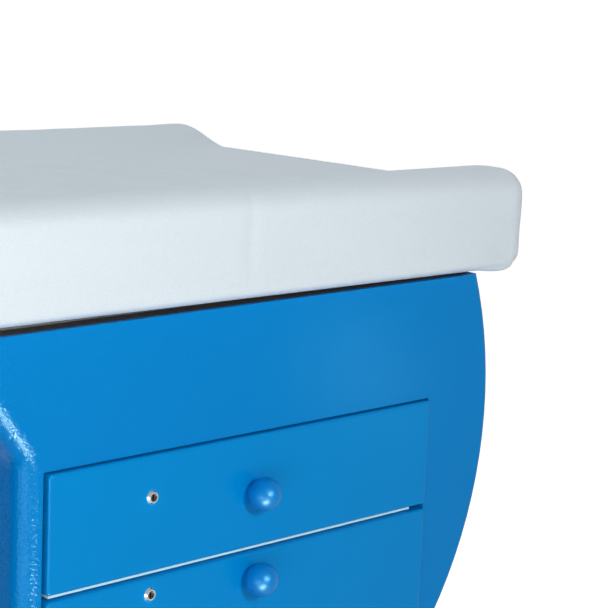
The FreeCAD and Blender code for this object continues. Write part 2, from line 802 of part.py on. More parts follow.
def knob_screw(label, x, z):
    """A screw from inside the drawer, through the front into the knob."""
    head = rod(f"{label}_head", "dims.screw_head", "dims.screw_head_thick", x, FACE_BACK, z, BACK)
    length = "dims.front_thick + dims.knob_screw_grip - 1"
    start = f"{FACE_BACK} - ({length})"
    shank = rod(f"{label}_shank", "dims.knob_screw", length, x, start, z, BACK)
    keep(label, fuse(f"{label}_turned", head, shank))


def cam_lock(name, x, z, catch):
    """A barrel clamped by a nut, with a keyed plug that turns a cam behind the front."""
    tip = f"({FACE} - dims.lock_flange_thick)"
    cam_front = f"({RAIL_BACK} + dims.cam_gap)"
    bore = "dims.lock_plug + 2 * dims.plug_slack"
    flange = taper(
        f"{name}_flange", "dims.lock_face", "dims.lock_flange", "dims.lock_flange_thick", x, tip, z
    )
    tube = rod(f"{name}_tube", "dims.lock_barrel", f"{RAIL_BACK} - {FACE}", x, FACE, z, BACK)
    hole = rod(f"{name}_bore", bore, f"{RAIL_BACK} - {tip}", x, tip, z, BACK)
    keep(f"{name}_lock_barrel", cut(f"{name}_barrel_bored", fuse(f"{name}_barrel", flange, tube), hole))

    nut = hexagon(f"{name}_nut", "dims.lock_nut", "dims.lock_nut_thick", x, FACE_BACK, z)
    thread = "dims.lock_barrel + 2 * dims.screw_slack"
    nut_hole = rod(f"{name}_nut_hole", thread, "dims.lock_nut_thick", x, FACE_BACK, z, BACK)
    keep(f"{name}_lock_nut", cut(f"{name}_nut_bored", nut, nut_hole))

    plug_tip = f"({tip} + dims.plug_recess)"
    core = rod(f"{name}_core", "dims.lock_plug", f"{cam_front} - {plug_tip}", x, plug_tip, z, BACK)
    tenon_length = "dims.cam_thick + dims.cam_nut_thick"
    tenon = rod(f"{name}_tenon", "dims.cam_tenon", tenon_length, x, cam_front, z, BACK)
    slot = box(
        f"{name}_key_slot", (f"{x} - dims.key_slot_width / 2", f"{x} + dims.key_slot_width / 2"),
        (plug_tip, f"{plug_tip} + dims.key_slot_depth"),
        (f"{z} - dims.key_slot / 2", f"{z} + dims.key_slot / 2"),
    )
    keep(f"{name}_lock_plug", cut(f"{name}_plug", fuse(f"{name}_plug_blank", core, tenon), slot))

    hub = rod(f"{name}_hub", "dims.cam_width", "dims.cam_thick", x, cam_front, z, BACK)
    arm = box(
        f"{name}_arm", (x, f"{x} + {catch} - {z}"), (cam_front, f"{cam_front} + dims.cam_thick"),
        (f"{z} - dims.cam_width / 2", f"{z} + dims.cam_width / 2"),
    )
    seat = "dims.cam_tenon + 2 * dims.screw_slack"
    eye = rod(f"{name}_eye", seat, "dims.cam_thick", x, cam_front, z, BACK)
    keep(f"{name}_lock_cam", cut(f"{name}_cam", fuse(f"{name}_cam_blank", hub, arm), eye))

    cam_back = f"({cam_front} + dims.cam_thick)"
    cap = hexagon(f"{name}_cap", "dims.cam_nut", "dims.cam_nut_thick", x, cam_back, z)
    cap_hole = rod(f"{name}_cap_hole", seat, "dims.cam_nut_thick", x, cam_back, z, BACK)
    keep(f"{name}_cam_nut", cut(f"{name}_cap_bored", cap, cap_hole))


def drawer(name, top, height, box_height, knob_drop, lock_drop, catch):
    """One drawer with its knob, its lock and its runners."""
    bottom = f"({top} - {height} + dims.box_lift)"
    drawer_front(f"{name}_drawer_front", top, height, knob_drop, lock_drop)
    drawer_box(f"{name}_drawer", bottom, box_height)
    runners(name, f"({bottom} + {box_height} / 2)")
    knob_x, knob_z = f"({DRAWER_LEFT} + dims.knob_from_left)", f"({top} - {knob_drop})"
    knob(f"{name}_knob", knob_x, knob_z)
    knob_screw(f"{name}_knob_screw", knob_x, knob_z)
    cam_lock(name, f"({DRAWER_LEFT} + dims.lock_from_left)", f"({top} - {lock_drop})", catch)


# Pad: tapered riser, board, foam and cover, held by bolts from under the deck


def bolt_places():
    """Where the pad bolts stand."""
    row = f"({RISER_SIDE} - dims.riser_rail / 2)"
    for tag, x in (("head", "-dims.bolt_span"), ("middle", "0"), ("foot", "dims.bolt_span")):
        yield f"{tag}_front", x, f"-{row}"
        yield f"{tag}_rear", x, row


def riser_top(x):
    """The height of the sloping riser at a place along the table."""
    rise = f"({RISER_HALF} - ({x})) * tan(dims.pad_tilt)"
    return f"(dims.body_height + dims.riser_low + {rise})"


def bolt_holes():
    """Clearance holes through the deck and the riser, one drill for each bolt."""
    length = f"dims.deck_thick + {riser_top(f'-{RISER_HALF}')} - dims.body_height"
    drills = [
        rod(f"bolt_drill_{tag}", "dims.bolt_hole", length, x, y, DECK_BOTTOM)
        for tag, x, y in bolt_places()
    ]
    return group("bolt_drills", drills)


def riser(drills):
    """Four rails with sloping tops that lift the head end of the pad."""
    body = doc.addObject("PartDesign::Body", "riser_wedge")
    sketch = start_sketch(body, "XZ_Plane", "riser_outline")
    base = "dims.body_height"
    draw_outline(
        sketch,
        [
            (f"-{RISER_HALF}", base),
            (RISER_HALF, base),
            (RISER_HALF, f"{base} + dims.riser_low"),
            (f"-{RISER_HALF}", riser_top(f"-{RISER_HALF}")),
        ],
    )
    wedge = pad(body, "riser_slab", sketch, f"2 * {RISER_SIDE}")
    wedge.Midplane = True
    reach, rail = RISER_SIDE, "dims.riser_rail"
    height = (base, riser_top(f"-{RISER_HALF}"))
    rails = []
    for row, sign in (("front", -1), ("rear", 1)):
        across = mirrored(sign, f"{reach} - {rail}", reach)
        strip = box(f"riser_{row}_strip", (f"-{RISER_HALF}", RISER_HALF), across, height)
        rails.append(cut(f"riser_{row}", common(f"riser_{row}_rail", body, strip), drills))
    across = (f"-({reach} - {rail})", f"{reach} - {rail}")
    for end, side in (("head", -1), ("foot", 1)):
        along = mirrored(side, f"{RISER_HALF} - {rail}", RISER_HALF)
        strip = box(f"riser_{end}_strip", along, across, height)
        rails.append(common(f"riser_{end}", body, strip))
    keep("pad_riser", group("riser_rails", rails))


def pad_place():
    """The slope that the board, the foam and the cover share, with X measured from the middle."""
    pivot = Vector(value(RISER_HALF), 0, value(riser_top(RISER_HALF)))
    slope = Placement(pivot, Rotation(Vector(0, 1, 0), value("dims.pad_tilt")))
    return slope.multiply(Placement(Vector(-pivot.x, 0, 0), Rotation()))


def pad_section(inset):
    """Half of the pad's cross-section, from the middle of the dish out and down to the bottom
    edge, as lines and arcs moved inwards by an inset."""
    half = value(PAD_SIDE)
    top = value("dims.pad_thick") - value("dims.cover_thick")
    low = -value("dims.cover_thick")
    drop, slope = value("dims.dish_depth"), value("dims.dish_slope")
    crest = half - value("dims.crest_from_edge")
    foot = crest - slope
    bend = (slope**2 + drop**2) / (4 * drop)
    corner, side = value("dims.pad_top_round"), value("dims.pad_side_radius")
    side_centre = Vector(0, half - side, (top + low) / 2)
    corner_z = top - corner
    reach = math.sqrt((side - corner) ** 2 - (corner_z - side_centre.z) ** 2)
    corner_centre = Vector(0, side_centre.y + reach, corner_z)

    def on_arc(centre, radius, y, z):
        direction = Vector(0, y - centre.y, z - centre.z).normalize()
        return centre + direction * radius

    crest_centre, foot_centre = Vector(0, crest, top - bend), Vector(0, foot, top - drop + bend)
    swap = (crest_centre + foot_centre) * 0.5
    shoulder = on_arc(side_centre, side - inset, corner_centre.y, corner_centre.z)
    floor_z = low + inset
    floor_y = side_centre.y + math.sqrt((side - inset) ** 2 - (floor_z - side_centre.z) ** 2)
    dish = Vector(0, 0, top - drop - inset)
    dish_foot = Vector(0, foot, top - drop - inset)
    inflection = on_arc(crest_centre, bend - inset, swap.y, swap.z)
    crest_point = Vector(0, crest, top - inset)
    rim = Vector(0, corner_centre.y, top - inset)
    edge = Vector(0, floor_y, floor_z)

    def arc(start, centre, radius, end):
        middle = on_arc(centre, radius, (start.y + end.y) / 2, (start.z + end.z) / 2)
        return Part.Arc(start, middle, end).toShape()

    return [
        Part.LineSegment(dish, dish_foot).toShape(),
        arc(dish_foot, foot_centre, bend + inset, inflection),
        arc(inflection, crest_centre, bend - inset, crest_point),
        Part.LineSegment(crest_point, rim).toShape(),
        arc(rim, corner_centre, corner - inset, shoulder),
        arc(shoulder, side_centre, side - inset, edge),
        Part.LineSegment(edge, Vector(0, 0, floor_z)).toShape(),
    ]


def pad_solid(inset):
    """The contoured pad, moved inwards by an inset, with round ends and a round lower edge."""
    half = pad_section(inset)
    other = [edge.mirror(Vector(), Vector(0, 1, 0)) for edge in half]
    outline = Part.Wire(Part.__sortEdges__(half + other))
    length = 2 * (value(PAD_HALF) - inset)
    block = Part.Face(outline).extrude(Vector(length, 0, 0))
    block.translate(Vector(-length / 2, 0, 0))
    floor_z = inset - value("dims.cover_thick")

    def at_end(edge):
        upright = all(close(abs(vertex.Point.x), length / 2) for vertex in edge.Vertexes)
        return upright and edge.CenterOfMass.z > floor_z + 1e-3

    ends = [edge for edge in block.Edges if at_end(edge)]
    block = block.makeFillet(value("dims.pad_end_round") - inset, ends)
    rim = [edge for edge in block.Edges if close(edge.CenterOfMass.z, floor_z)]
    rim = [edge for edge in rim if abs(edge.CenterOfMass.x) > 1 or abs(edge.CenterOfMass.y) > 1]
    return block.makeFillet(value("dims.pad_bottom_round") - inset, rim)


def solid_feature(label, shape, placement):
    """A sub-part whose shape is worked out above."""
    feature = doc.addObject("Part::Feature", label)
    feature.Shape = shape
    feature.Placement = placement
    return keep(label, feature)


def cushion():
    """Foam over and round the board, in a cover that is turned under the board as a hem."""
    slope = pad_place()
    thick = value("dims.pad_board_thick")
    filling = pad_solid(value("dims.cover_thick"))
    half, width = value(PAD_HALF), value(PAD_SIDE)

    def centred_block(inset, low):
        corner = Vector(inset - half, inset - width, low)
        return Part.makeBox(2 * (half - inset), 2 * (width - inset), thick, corner)

    solid_feature("pad_foam", filling.cut(centred_block(value("dims.pad_board_inset"), 0)), slope)
    window = centred_block(value("dims.cover_hem"), -thick / 2)
    solid_feature("pad_cover", pad_solid(0).cut(filling).cut(window), slope)


def pad_board():
    """The plywood board under the foam, bored for the bolts' nuts."""
    board = doc.addObject("Part::Box", "pad_board_slab")
    inset = "dims.pad_board_inset"
    bind(
        board, Length=f"2 * ({PAD_HALF} - {inset})", Width=f"2 * ({PAD_SIDE} - {inset})",
        Height="dims.pad_board_thick",
    )
    corner = Vector(-value(f"{PAD_HALF} - {inset}"), -value(f"{PAD_SIDE} - {inset}"), 0)
    board.Placement = pad_place().multiply(Placement(corner, Rotation()))
    holes = []
    for tag, x, y in bolt_places():
        low, top = riser_top(x), nut_top(x)
        barrel = "dims.nut_barrel + 2 * dims.screw_slack"
        flange = "dims.nut_flange + 2 * dims.screw_slack"
        start = f"{low} - dims.pad_board_thick / 2"
        holes.append(rod(f"nut_hole_{tag}", barrel, "2 * dims.pad_board_thick", x, y, start))
        seat = f"{top} - dims.nut_flange_thick"
        holes.append(rod(f"nut_seat_{tag}", flange, "dims.pad_board_thick", x, y, seat))
    keep("pad_board", cut("pad_board_bored", board, group("nut_holes", holes)))


def nut_top(x):
    """The top of a nut's flange, sunk below the top of the board."""
    return f"({riser_top(x)} + dims.pad_board_thick - dims.nut_recess + dims.nut_flange_thick)"


def pad_bolts():
    """Bolts from under the deck, up through the riser into flanged nuts in the board."""
    bolts, nuts = [], []
    for tag, x, y in bolt_places():
        head_low = f"{DECK_BOTTOM} - dims.bolt_head_thick"
        head = rod(f"bolt_head_{tag}", "dims.bolt_head", "dims.bolt_head_thick", x, y, head_low)
        shank = rod(f"bolt_shank_{tag}", "dims.bolt", f"{nut_top(x)} - {DECK_BOTTOM}", x, y, DECK_BOTTOM)
        bolts.append(fuse(f"bolt_{tag}", head, shank))
        low = f"{nut_top(x)} - dims.nut_length"
        barrel = rod(f"nut_barrel_{tag}", "dims.nut_barrel", "dims.nut_length", x, y, low)
        seat = f"{nut_top(x)} - dims.nut_flange_thick"
        flange = rod(f"nut_flange_{tag}", "dims.nut_flange", "dims.nut_flange_thick", x, y, seat)
        thread = rod(f"nut_thread_{tag}", "dims.bolt + 2 * dims.screw_slack", "dims.nut_length", x, y, low)
        nuts.append(cut(f"nut_{tag}", fuse(f"nut_blank_{tag}", barrel, flange), thread))
    keep("pad_bolts", group("pad_bolt_set", bolts))
    keep("pad_nuts", group("pad_nut_set", nuts))


def check_and_write():
    """Stop on any failed object, then write one file for each sub-part."""
    for thing in doc.Objects:
        if "Invalid" in thing.State or "Error" in thing.State:
            raise RuntimeError(f"{thing.Label} failed: {thing.State}")
    for label, thing in nodes.items():
        if thing.Shape.isNull() or not thing.Shape.isValid():
            raise RuntimeError(f"{label} has no valid shape")
    os.makedirs("parts", exist_ok=True)
    for label, thing in nodes.items():
        thing.Shape.exportStep(f"parts/{label}.step")
        print(f"{label}: {len(thing.Shape.Solids)} solid(s), {thing.Shape.Volume / 1e6:.3f} litres")


front_moulding()
moulding("rear_shell", 1)
drills = bolt_holes()
body_boards(drills)
opening_frame()
plinths()
drawer(
    "upper", UPPER_TOP, "dims.upper_front_height", "dims.upper_box_height", "dims.upper_knob_drop",
    "dims.upper_lock_drop", f"({OPENING_TOP} + dims.cam_catch)",
)
drawer(
    "lower", LOWER_TOP, "dims.lower_front_height", "dims.lower_box_height", "dims.lower_knob_drop",
    "dims.lower_lock_drop", f"({DIVIDER_MIDDLE} - dims.divider_height / 2 + dims.cam_catch)",
)
riser(drills)
pad_board()
cushion()
pad_bolts()
doc.recompute()
check_and_write()
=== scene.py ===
import json
import math

import bmesh
import bpy
from mathutils import Matrix, Vector, noise


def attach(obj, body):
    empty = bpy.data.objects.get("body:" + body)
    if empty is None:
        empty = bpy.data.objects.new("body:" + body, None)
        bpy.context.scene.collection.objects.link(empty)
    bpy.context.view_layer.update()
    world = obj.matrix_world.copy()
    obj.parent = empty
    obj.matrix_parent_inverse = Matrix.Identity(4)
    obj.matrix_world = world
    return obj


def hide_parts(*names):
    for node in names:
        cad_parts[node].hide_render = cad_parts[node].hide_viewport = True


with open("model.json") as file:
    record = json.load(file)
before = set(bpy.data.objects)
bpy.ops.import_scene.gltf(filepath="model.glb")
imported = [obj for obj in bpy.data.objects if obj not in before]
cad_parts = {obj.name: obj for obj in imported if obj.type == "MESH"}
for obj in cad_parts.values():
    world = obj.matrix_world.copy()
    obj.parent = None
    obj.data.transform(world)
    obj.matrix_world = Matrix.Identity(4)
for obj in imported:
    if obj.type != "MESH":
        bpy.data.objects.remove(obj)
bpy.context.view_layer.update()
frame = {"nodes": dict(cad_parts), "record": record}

# Pediatric examination table: a blue moulded body with locking drawers, and a contoured
# vinyl pad. Metres, +X along the table to the drawer end, -Y to the front, +Z up.

scene = bpy.context.scene

# The pad's own frame: X from the middle of its length, Z from the underside of its board
PAD_PIVOT = Vector((0.86624, 0.0, 0.707))
PAD_TILT = math.radians(0.42)
PAD_HALF_LENGTH = 0.9310
PAD_HALF_WIDTH = 0.309
PAD_TOP = 0.1145
PAD_LOW = -0.0015
DISH_DEPTH = 0.022
FRONT_CREST = 0.048
FRONT_SLOPE = 0.105
BACK_CREST = 0.026
BACK_SLOPE = 0.090
COVER_HEM = 0.040


def pad_to_table():
    """The slope that lifts the head end of the pad."""
    turn = Matrix.Rotation(PAD_TILT, 4, "Y")
    return Matrix.Translation(PAD_PIVOT) @ turn @ Matrix.Translation((-PAD_PIVOT.x, 0.0, 0.0))


def smooth(value):
    """A soft step from 0 to 1."""
    value = max(0.0, min(1.0, value))
    return value * value * (3.0 - 2.0 * value)


def grow(value, zone):
    """A soft step from 0 to 1 over a zone, given as its start and its length."""
    start, run = zone
    return smooth((value - start) / run)


# Node groups: effects that several finishes share


def new_group(name, inputs, outputs):
    """An empty shader node group with named sockets, as (kind, name) pairs."""
    tree = bpy.data.node_groups.new(name, "ShaderNodeTree")
    for kind, label in inputs:
        tree.interface.new_socket(label, in_out="INPUT", socket_type=f"NodeSocket{kind}")
    for kind, label in outputs:
        tree.interface.new_socket(label, in_out="OUTPUT", socket_type=f"NodeSocket{kind}")
    return tree, tree.nodes.new("NodeGroupInput").outputs, tree.nodes.new("NodeGroupOutput").inputs


def add(tree, kind, links=None, values=None, **settings):
    """A node with its settings, its plain input values and its incoming links."""
    node = tree.nodes.new(f"ShaderNode{kind}")
    for name, value in settings.items():
        setattr(node, name, value)
    for name, value in (values or {}).items():
        node.inputs[name].default_value = value
    for name, source in (links or {}).items():
        tree.links.new(source, node.inputs[name])
    return node


def math_node(tree, operation, first, second):
    """A sum or product of two sockets or numbers."""
    node = tree.nodes.new("ShaderNodeMath")
    node.operation = operation
    for socket, source in zip(node.inputs, (first, second)):
        if isinstance(source, (int, float)):
            socket.default_value = source
        else:
            tree.links.new(source, socket)
    return node.outputs[0]


def mix_colour(tree, factor, first, second):
    """One colour faded into another."""
    node = tree.nodes.new("ShaderNodeMix")
    node.data_type = "RGBA"
    tree.links.new(factor, node.inputs[0])
    for socket, source in ((node.inputs[6], first), (node.inputs[7], second)):
        if isinstance(source, tuple):
            socket.default_value = source
        else:
            tree.links.new(source, socket)
    return node.outputs[2]


def peel_group():
    """The fine waviness of sprayed or moulded gloss."""
    tree, inside, result = new_group(
        "orange_peel",
        [("Vector", "Place"), ("Float", "Cells"), ("Float", "Depth")],
        [("Float", "Height")],
    )
    wide = add(
        tree, "TexNoise", {"Vector": inside["Place"], "Scale": inside["Cells"]},
        {"Detail": 1.5, "Roughness": 0.45},
    )
    fine_cells = math_node(tree, "MULTIPLY", inside["Cells"], 2.3)
    fine = add(
        tree, "TexNoise", {"Vector": inside["Place"], "Scale": fine_cells},
        {"Detail": 1.0, "Roughness": 0.5},
    )
    weaker = math_node(tree, "MULTIPLY", fine.outputs[0], 0.35)
    both = math_node(tree, "ADD", wide.outputs[0], weaker)
    tree.links.new(math_node(tree, "MULTIPLY", both, inside["Depth"]), result["Height"])
    return tree


def drift_group():
    """Slow changes of tone over a surface, and the same drift for its roughness."""
    tree, inside, result = new_group(
        "tone_drift",
        [("Vector", "Place"), ("Color", "Colour"), ("Float", "Patch"), ("Float", "Amount"),
         ("Float", "Roughness"), ("Float", "Dulling")],
        [("Color", "Colour"), ("Float", "Roughness")],
    )
    cloud = add(
        tree, "TexNoise", {"Vector": inside["Place"], "Scale": inside["Patch"]},
        {"Detail": 4.0, "Roughness": 0.55},
    )
    swing = math_node(tree, "SUBTRACT", cloud.outputs[0], 0.5)
    shade = math_node(tree, "ADD", math_node(tree, "MULTIPLY", swing, inside["Amount"]), 1.0)
    toned = add(tree, "HueSaturation", {"Color": inside["Colour"], "Value": shade})
    tree.links.new(toned.outputs[0], result["Colour"])
    dull = math_node(tree, "MULTIPLY", swing, inside["Dulling"])
    tree.links.new(math_node(tree, "ADD", inside["Roughness"], dull), result["Roughness"])
    return tree


def vinyl_group():
    """Embossed vinyl: small rounded pebbles, and softer creases between them."""
    tree, inside, result = new_group(
        "vinyl_grain",
        [("Vector", "Place"), ("Float", "Pebbles"), ("Float", "Depth")],
        [("Float", "Height"), ("Float", "Valley")],
    )
    pebble = add(
        tree, "TexVoronoi", {"Vector": inside["Place"], "Scale": inside["Pebbles"]},
        {"Randomness": 0.9, "Smoothness": 0.5}, feature="SMOOTH_F1",
    )
    crease_scale = math_node(tree, "MULTIPLY", inside["Pebbles"], 0.22)
    crease = add(
        tree, "TexNoise", {"Vector": inside["Place"], "Scale": crease_scale},
        {"Detail": 3.0, "Roughness": 0.6},
    )
    weaker = math_node(tree, "MULTIPLY", crease.outputs[0], 0.5)
    valley = math_node(tree, "ADD", pebble.outputs["Distance"], weaker)
    tree.links.new(valley, result["Valley"])
    raised = math_node(tree, "SUBTRACT", 1.0, valley)
    tree.links.new(math_node(tree, "MULTIPLY", raised, inside["Depth"]), result["Height"])
    return tree


def figure_group():
    """Long wood figure along X, with pores."""
    tree, inside, result = new_group(
        "wood_figure",
        [("Vector", "Place"), ("Color", "Pale"), ("Color", "Dark"), ("Float", "Bands"),
         ("Float", "Depth")],
        [("Color", "Colour"), ("Float", "Height")],
    )
    stretch = add(tree, "Mapping", {"Vector": inside["Place"]}, {"Scale": (0.12, 1.0, 1.0)})
    bands = add(
        tree, "TexNoise", {"Vector": stretch.outputs[0], "Scale": inside["Bands"]},
        {"Detail": 5.0, "Roughness": 0.6, "Distortion": 0.6},
    )
    pores_scale = math_node(tree, "MULTIPLY", inside["Bands"], 9.0)
    pores = add(
        tree, "TexNoise", {"Vector": stretch.outputs[0], "Scale": pores_scale},
        {"Detail": 2.0, "Roughness": 0.5},
    )
    mixed = math_node(tree, "ADD", math_node(tree, "MULTIPLY", bands.outputs[0], 0.75),
                      math_node(tree, "MULTIPLY", pores.outputs[0], 0.25))
    sharper = add(tree, "MapRange", {"Value": mixed}, {"From Min": 0.36, "From Max": 0.64})
    figured = mix_colour(tree, sharper.outputs[0], inside["Pale"], inside["Dark"])
    tree.links.new(figured, result["Colour"])
    tree.links.new(math_node(tree, "MULTIPLY", pores.outputs[0], inside["Depth"]), result["Height"])
    return tree


def brush_group():
    """Fine lines along X left by rolling or brushing metal."""
    tree, inside, result = new_group(
        "brushed_lines",
        [("Vector", "Place"), ("Float", "Lines"), ("Float", "Roughness"), ("Float", "Depth")],
        [("Float", "Roughness"), ("Float", "Height")],
    )
    stretch = add(tree, "Mapping", {"Vector": inside["Place"]}, {"Scale": (0.02, 0.02, 1.0)})
    lines = add(
        tree, "TexNoise", {"Vector": stretch.outputs[0], "Scale": inside["Lines"]},
        {"Detail": 3.0, "Roughness": 0.6},
    )
    swing = math_node(tree, "MULTIPLY", math_node(tree, "SUBTRACT", lines.outputs[0], 0.5), 0.35)
    tree.links.new(math_node(tree, "ADD", inside["Roughness"], swing), result["Roughness"])
    tree.links.new(math_node(tree, "MULTIPLY", lines.outputs[0], inside["Depth"]), result["Height"])
    return tree


PEEL = peel_group()
DRIFT = drift_group()
VINYL = vinyl_group()
FIGURE = figure_group()
BRUSH = brush_group()

# Finishes

BLUE = (0.0, 0.22, 0.59)
DRAWER_BLUE = (0.0, 0.24, 0.61)
KNOB_BLUE = (0.0, 0.2, 0.56)
BLUE_GLOSS = (0.3, 0.75, 1.0, 1.0)
PAD_GREY = (0.73, 0.81, 0.865)
PAD_SHADE = (0.62, 0.69, 0.73)

# Orange peel of the gel coat: its depth at the kneehole, the share of it left at the ends,
# and how far from the middle of the table it starts and stops to fade
PEEL_DEPTH = 0.0007
PEEL_LEFT = 0.06
PEEL_FADE = (0.24, 0.5)


def new_finish(name, **shader):
    """A material with its shader's plain values set, and the place on the piece as a vector."""
    material = bpy.data.materials.new(name)
    material.use_nodes = True
    tree = material.node_tree
    principled = tree.nodes["Principled BSDF"]
    for label, value in shader.items():
        principled.inputs[label.replace("_", " ")].default_value = value
    return material, tree, principled, tree.nodes.new("ShaderNodeTexCoord").outputs["Object"]


def place_group(tree, group, place, **values):
    """A shared effect put into a material with its own values."""
    node = tree.nodes.new("ShaderNodeGroup")
    node.node_tree = group
    tree.links.new(place, node.inputs["Place"])
    for label, value in values.items():
        node.inputs[label].default_value = value
    return node.outputs


def raise_surface(tree, principled, height):
    """Height in metres as bump."""
    bump = tree.nodes.new("ShaderNodeBump")
    bump.inputs["Distance"].default_value = 1.0
    tree.links.new(height, bump.inputs["Height"])
    tree.links.new(bump.outputs[0], principled.inputs["Normal"])


def tone(tree, principled, place, colour, patch, amount, roughness, dulling):
    """Drifting colour and roughness, linked to the shader."""
    drift = place_group(
        tree, DRIFT, place, Colour=(*colour, 1.0), Patch=patch, Amount=amount,
        Roughness=roughness, Dulling=dulling,
    )
    tree.links.new(drift["Colour"], principled.inputs["Base Color"])
    tree.links.new(drift["Roughness"], principled.inputs["Roughness"])


def moulded_finish(name, colour, patch, amount, roughness, dulling, cells, depth, **shader):
    """Gel coat, lacquer or plastic: drifting tone under a wavy gloss."""
    material, tree, principled, place = new_finish(name, **shader)
    tone(tree, principled, place, colour, patch, amount, roughness, dulling)
    peel = place_group(tree, PEEL, place, Cells=cells, Depth=depth)
    raise_surface(tree, principled, peel["Height"])
    return material


def gelcoat_finish():
    """Blue gel coat, with an orange peel that fades from the kneehole to the ends."""
    material, tree, principled, place = new_finish(
        "body_gelcoat", Specular_IOR_Level=0.07, Specular_Tint=BLUE_GLOSS
    )
    tone(tree, principled, place, BLUE, 3.0, 0.06, 0.17, 0.04)
    along = add(tree, "SeparateXYZ", {"Vector": place}).outputs["X"]
    outward = math_node(tree, "ABSOLUTE", along, 0.0)
    depth = add(
        tree, "MapRange", {"Value": outward},
        {"From Min": PEEL_FADE[0], "From Max": PEEL_FADE[1],
         "To Min": PEEL_DEPTH, "To Max": PEEL_LEFT * PEEL_DEPTH},
        interpolation_type="SMOOTHSTEP",
    )
    peel = place_group(tree, PEEL, place, Cells=300.0)
    tree.links.new(depth.outputs[0], peel["Height"].node.inputs["Depth"])
    raise_surface(tree, principled, peel["Height"])
    return material


def board_finish(name, pale, dark, bands, depth, roughness):
    """Wood with its figure along the table."""
    material, tree, principled, place = new_finish(name, Roughness=roughness)
    figure = place_group(
        tree, FIGURE, place, Pale=(*pale, 1.0), Dark=(*dark, 1.0), Bands=bands, Depth=depth
    )
    tree.links.new(figure["Colour"], principled.inputs["Base Color"])
    raise_surface(tree, principled, figure["Height"])
    return material


def metal_finish(name, colour, lines, roughness, depth):
    """Rolled or plated metal with fine lines."""
    material, tree, principled, place = new_finish(name, Base_Color=(*colour, 1.0), Metallic=1.0)
    brushed = place_group(tree, BRUSH, place, Lines=lines, Roughness=roughness, Depth=depth)
    tree.links.new(brushed["Roughness"], principled.inputs["Roughness"])
    raise_surface(tree, principled, brushed["Height"])
    return material


def vinyl_finish():
    """Pale grey upholstery vinyl, slightly darker in its grain."""
    material, tree, principled, place = new_finish("pad_vinyl", Specular_IOR_Level=0.06)
    grain = place_group(tree, VINYL, place, Pebbles=620.0, Depth=0.00007)
    drift = place_group(
        tree, DRIFT, place, Colour=(*PAD_GREY, 1.0), Patch=5.0, Amount=0.05,
        Roughness=0.48, Dulling=0.12,
    )
    valley = add(
        tree, "MapRange", {"Value": grain["Valley"]},
        {"From Min": 0.35, "From Max": 1.0, "To Max": 0.35},
    )
    darker = mix_colour(tree, valley.outputs[0], drift["Colour"], (*PAD_SHADE, 1.0))
    tree.links.new(darker, principled.inputs["Base Color"])
    tree.links.new(drift["Roughness"], principled.inputs["Roughness"])
    raise_surface(tree, principled, grain["Height"])
    return material


# Each moulded finish: patches per metre and strength of its drift, roughness and its drift,
# cells per metre and depth of its orange peel
gelcoat = gelcoat_finish()
lacquer = moulded_finish(
    "drawer_lacquer", DRAWER_BLUE, 4.0, 0.06, 0.2, 0.06, 420.0, 0.0001,
    Specular_IOR_Level=0.07, Specular_Tint=BLUE_GLOSS,
)
knob_plastic = moulded_finish(
    "knob_plastic", KNOB_BLUE, 30.0, 0.05, 0.36, 0.06, 500.0, 0.00001,
    Specular_IOR_Level=0.2, Specular_Tint=BLUE_GLOSS,
)
white_plastic = moulded_finish(
    "white_rail", (0.62, 0.96, 1.0), 20.0, 0.03, 0.5, 0.08, 600.0, 0.00001,
    Specular_IOR_Level=0.0,
)
melamine = moulded_finish(
    "white_melamine", (0.82, 0.82, 0.8), 9.0, 0.04, 0.42, 0.1, 800.0, 0.00001
)
# Black laminate: the plinths' own colour. Where the deck board shows under the pad's edge, its
# black is painted shadow cast by the overhanging pad.
laminate = moulded_finish(
    "black_laminate", (0.02, 0.02, 0.022), 12.0, 0.25, 0.55, 0.15, 900.0, 0.00003
)
nylon = moulded_finish("glide_nylon", (0.05, 0.05, 0.052), 40.0, 0.2, 0.5, 0.1, 700.0, 0.00002)
plywood = board_finish("plywood", (0.66, 0.5, 0.32), (0.5, 0.34, 0.19), 28.0, 0.00006, 0.6)
zinc = metal_finish("runner_zinc", (0.6, 0.61, 0.62), 1600.0, 0.36, 0.000004)
nickel = metal_finish("lock_nickel", (0.34, 0.35, 0.36), 2400.0, 0.24, 0.000002)
hardware = metal_finish("steel_hardware", (0.55, 0.55, 0.55), 1800.0, 0.38, 0.000004)
# Blackened lock plugs: their near-black is partly the plug's own colour and partly painted shade,
# standing in for the dark inside of the keyhole.
lock_black = moulded_finish(
    "lock_black", (0.012, 0.012, 0.014), 300.0, 0.3, 0.4, 0.15, 2500.0, 0.000005,
    Specular_IOR_Level=0.2,
)
vinyl = vinyl_finish()

FINISHES = {
    "body_gelcoat": gelcoat,
    "drawer_lacquer": lacquer,
    "knob_plastic": knob_plastic,
    "white_rail": white_plastic,
    "white_melamine": melamine,
    "black_laminate": laminate,
    "glide_nylon": nylon,
    "plywood": plywood,
    "runner_zinc": zinc,
    "lock_nickel": nickel,
    "lock_black": lock_black,
    "steel_hardware": hardware,
}

# Plywood round the drawer opening, painted with the drawers
PAINTED = ("top_rail", "bottom_rail", "right_stile")


def dress_frame():
    """Give every packed sub-part the finish of its slot, or its coat of paint."""
    for row in frame["record"]["subparts"]:
        finish = lacquer if row["node"] in PAINTED else FINISHES.get(row["material_slot"])
        if finish:
            mesh = frame["nodes"][row["node"]].data
            mesh.materials.clear()
            mesh.materials.append(finish)


# Pad: a vinyl cover over foam

# Mesh: steps in the hem, length of a step along and across the pad, and levels up its sides
HEM_STEPS = 7
LENGTH_STEP = 0.0105
WIDTH_STEP = 0.0095
LEVELS = 18


def stations(half, step):
    """Places across one axis of the pad, closer together from the hem to the edge."""
    inner = half - COVER_HEM
    steps = math.ceil(2.0 * inner / step)
    hem = [COVER_HEM * i / HEM_STEPS for i in range(HEM_STEPS)]
    low = [-half + place for place in hem]
    middle = [-inner + 2.0 * inner * i / steps for i in range(steps + 1)]
    return low + middle + [-place for place in reversed(low)]


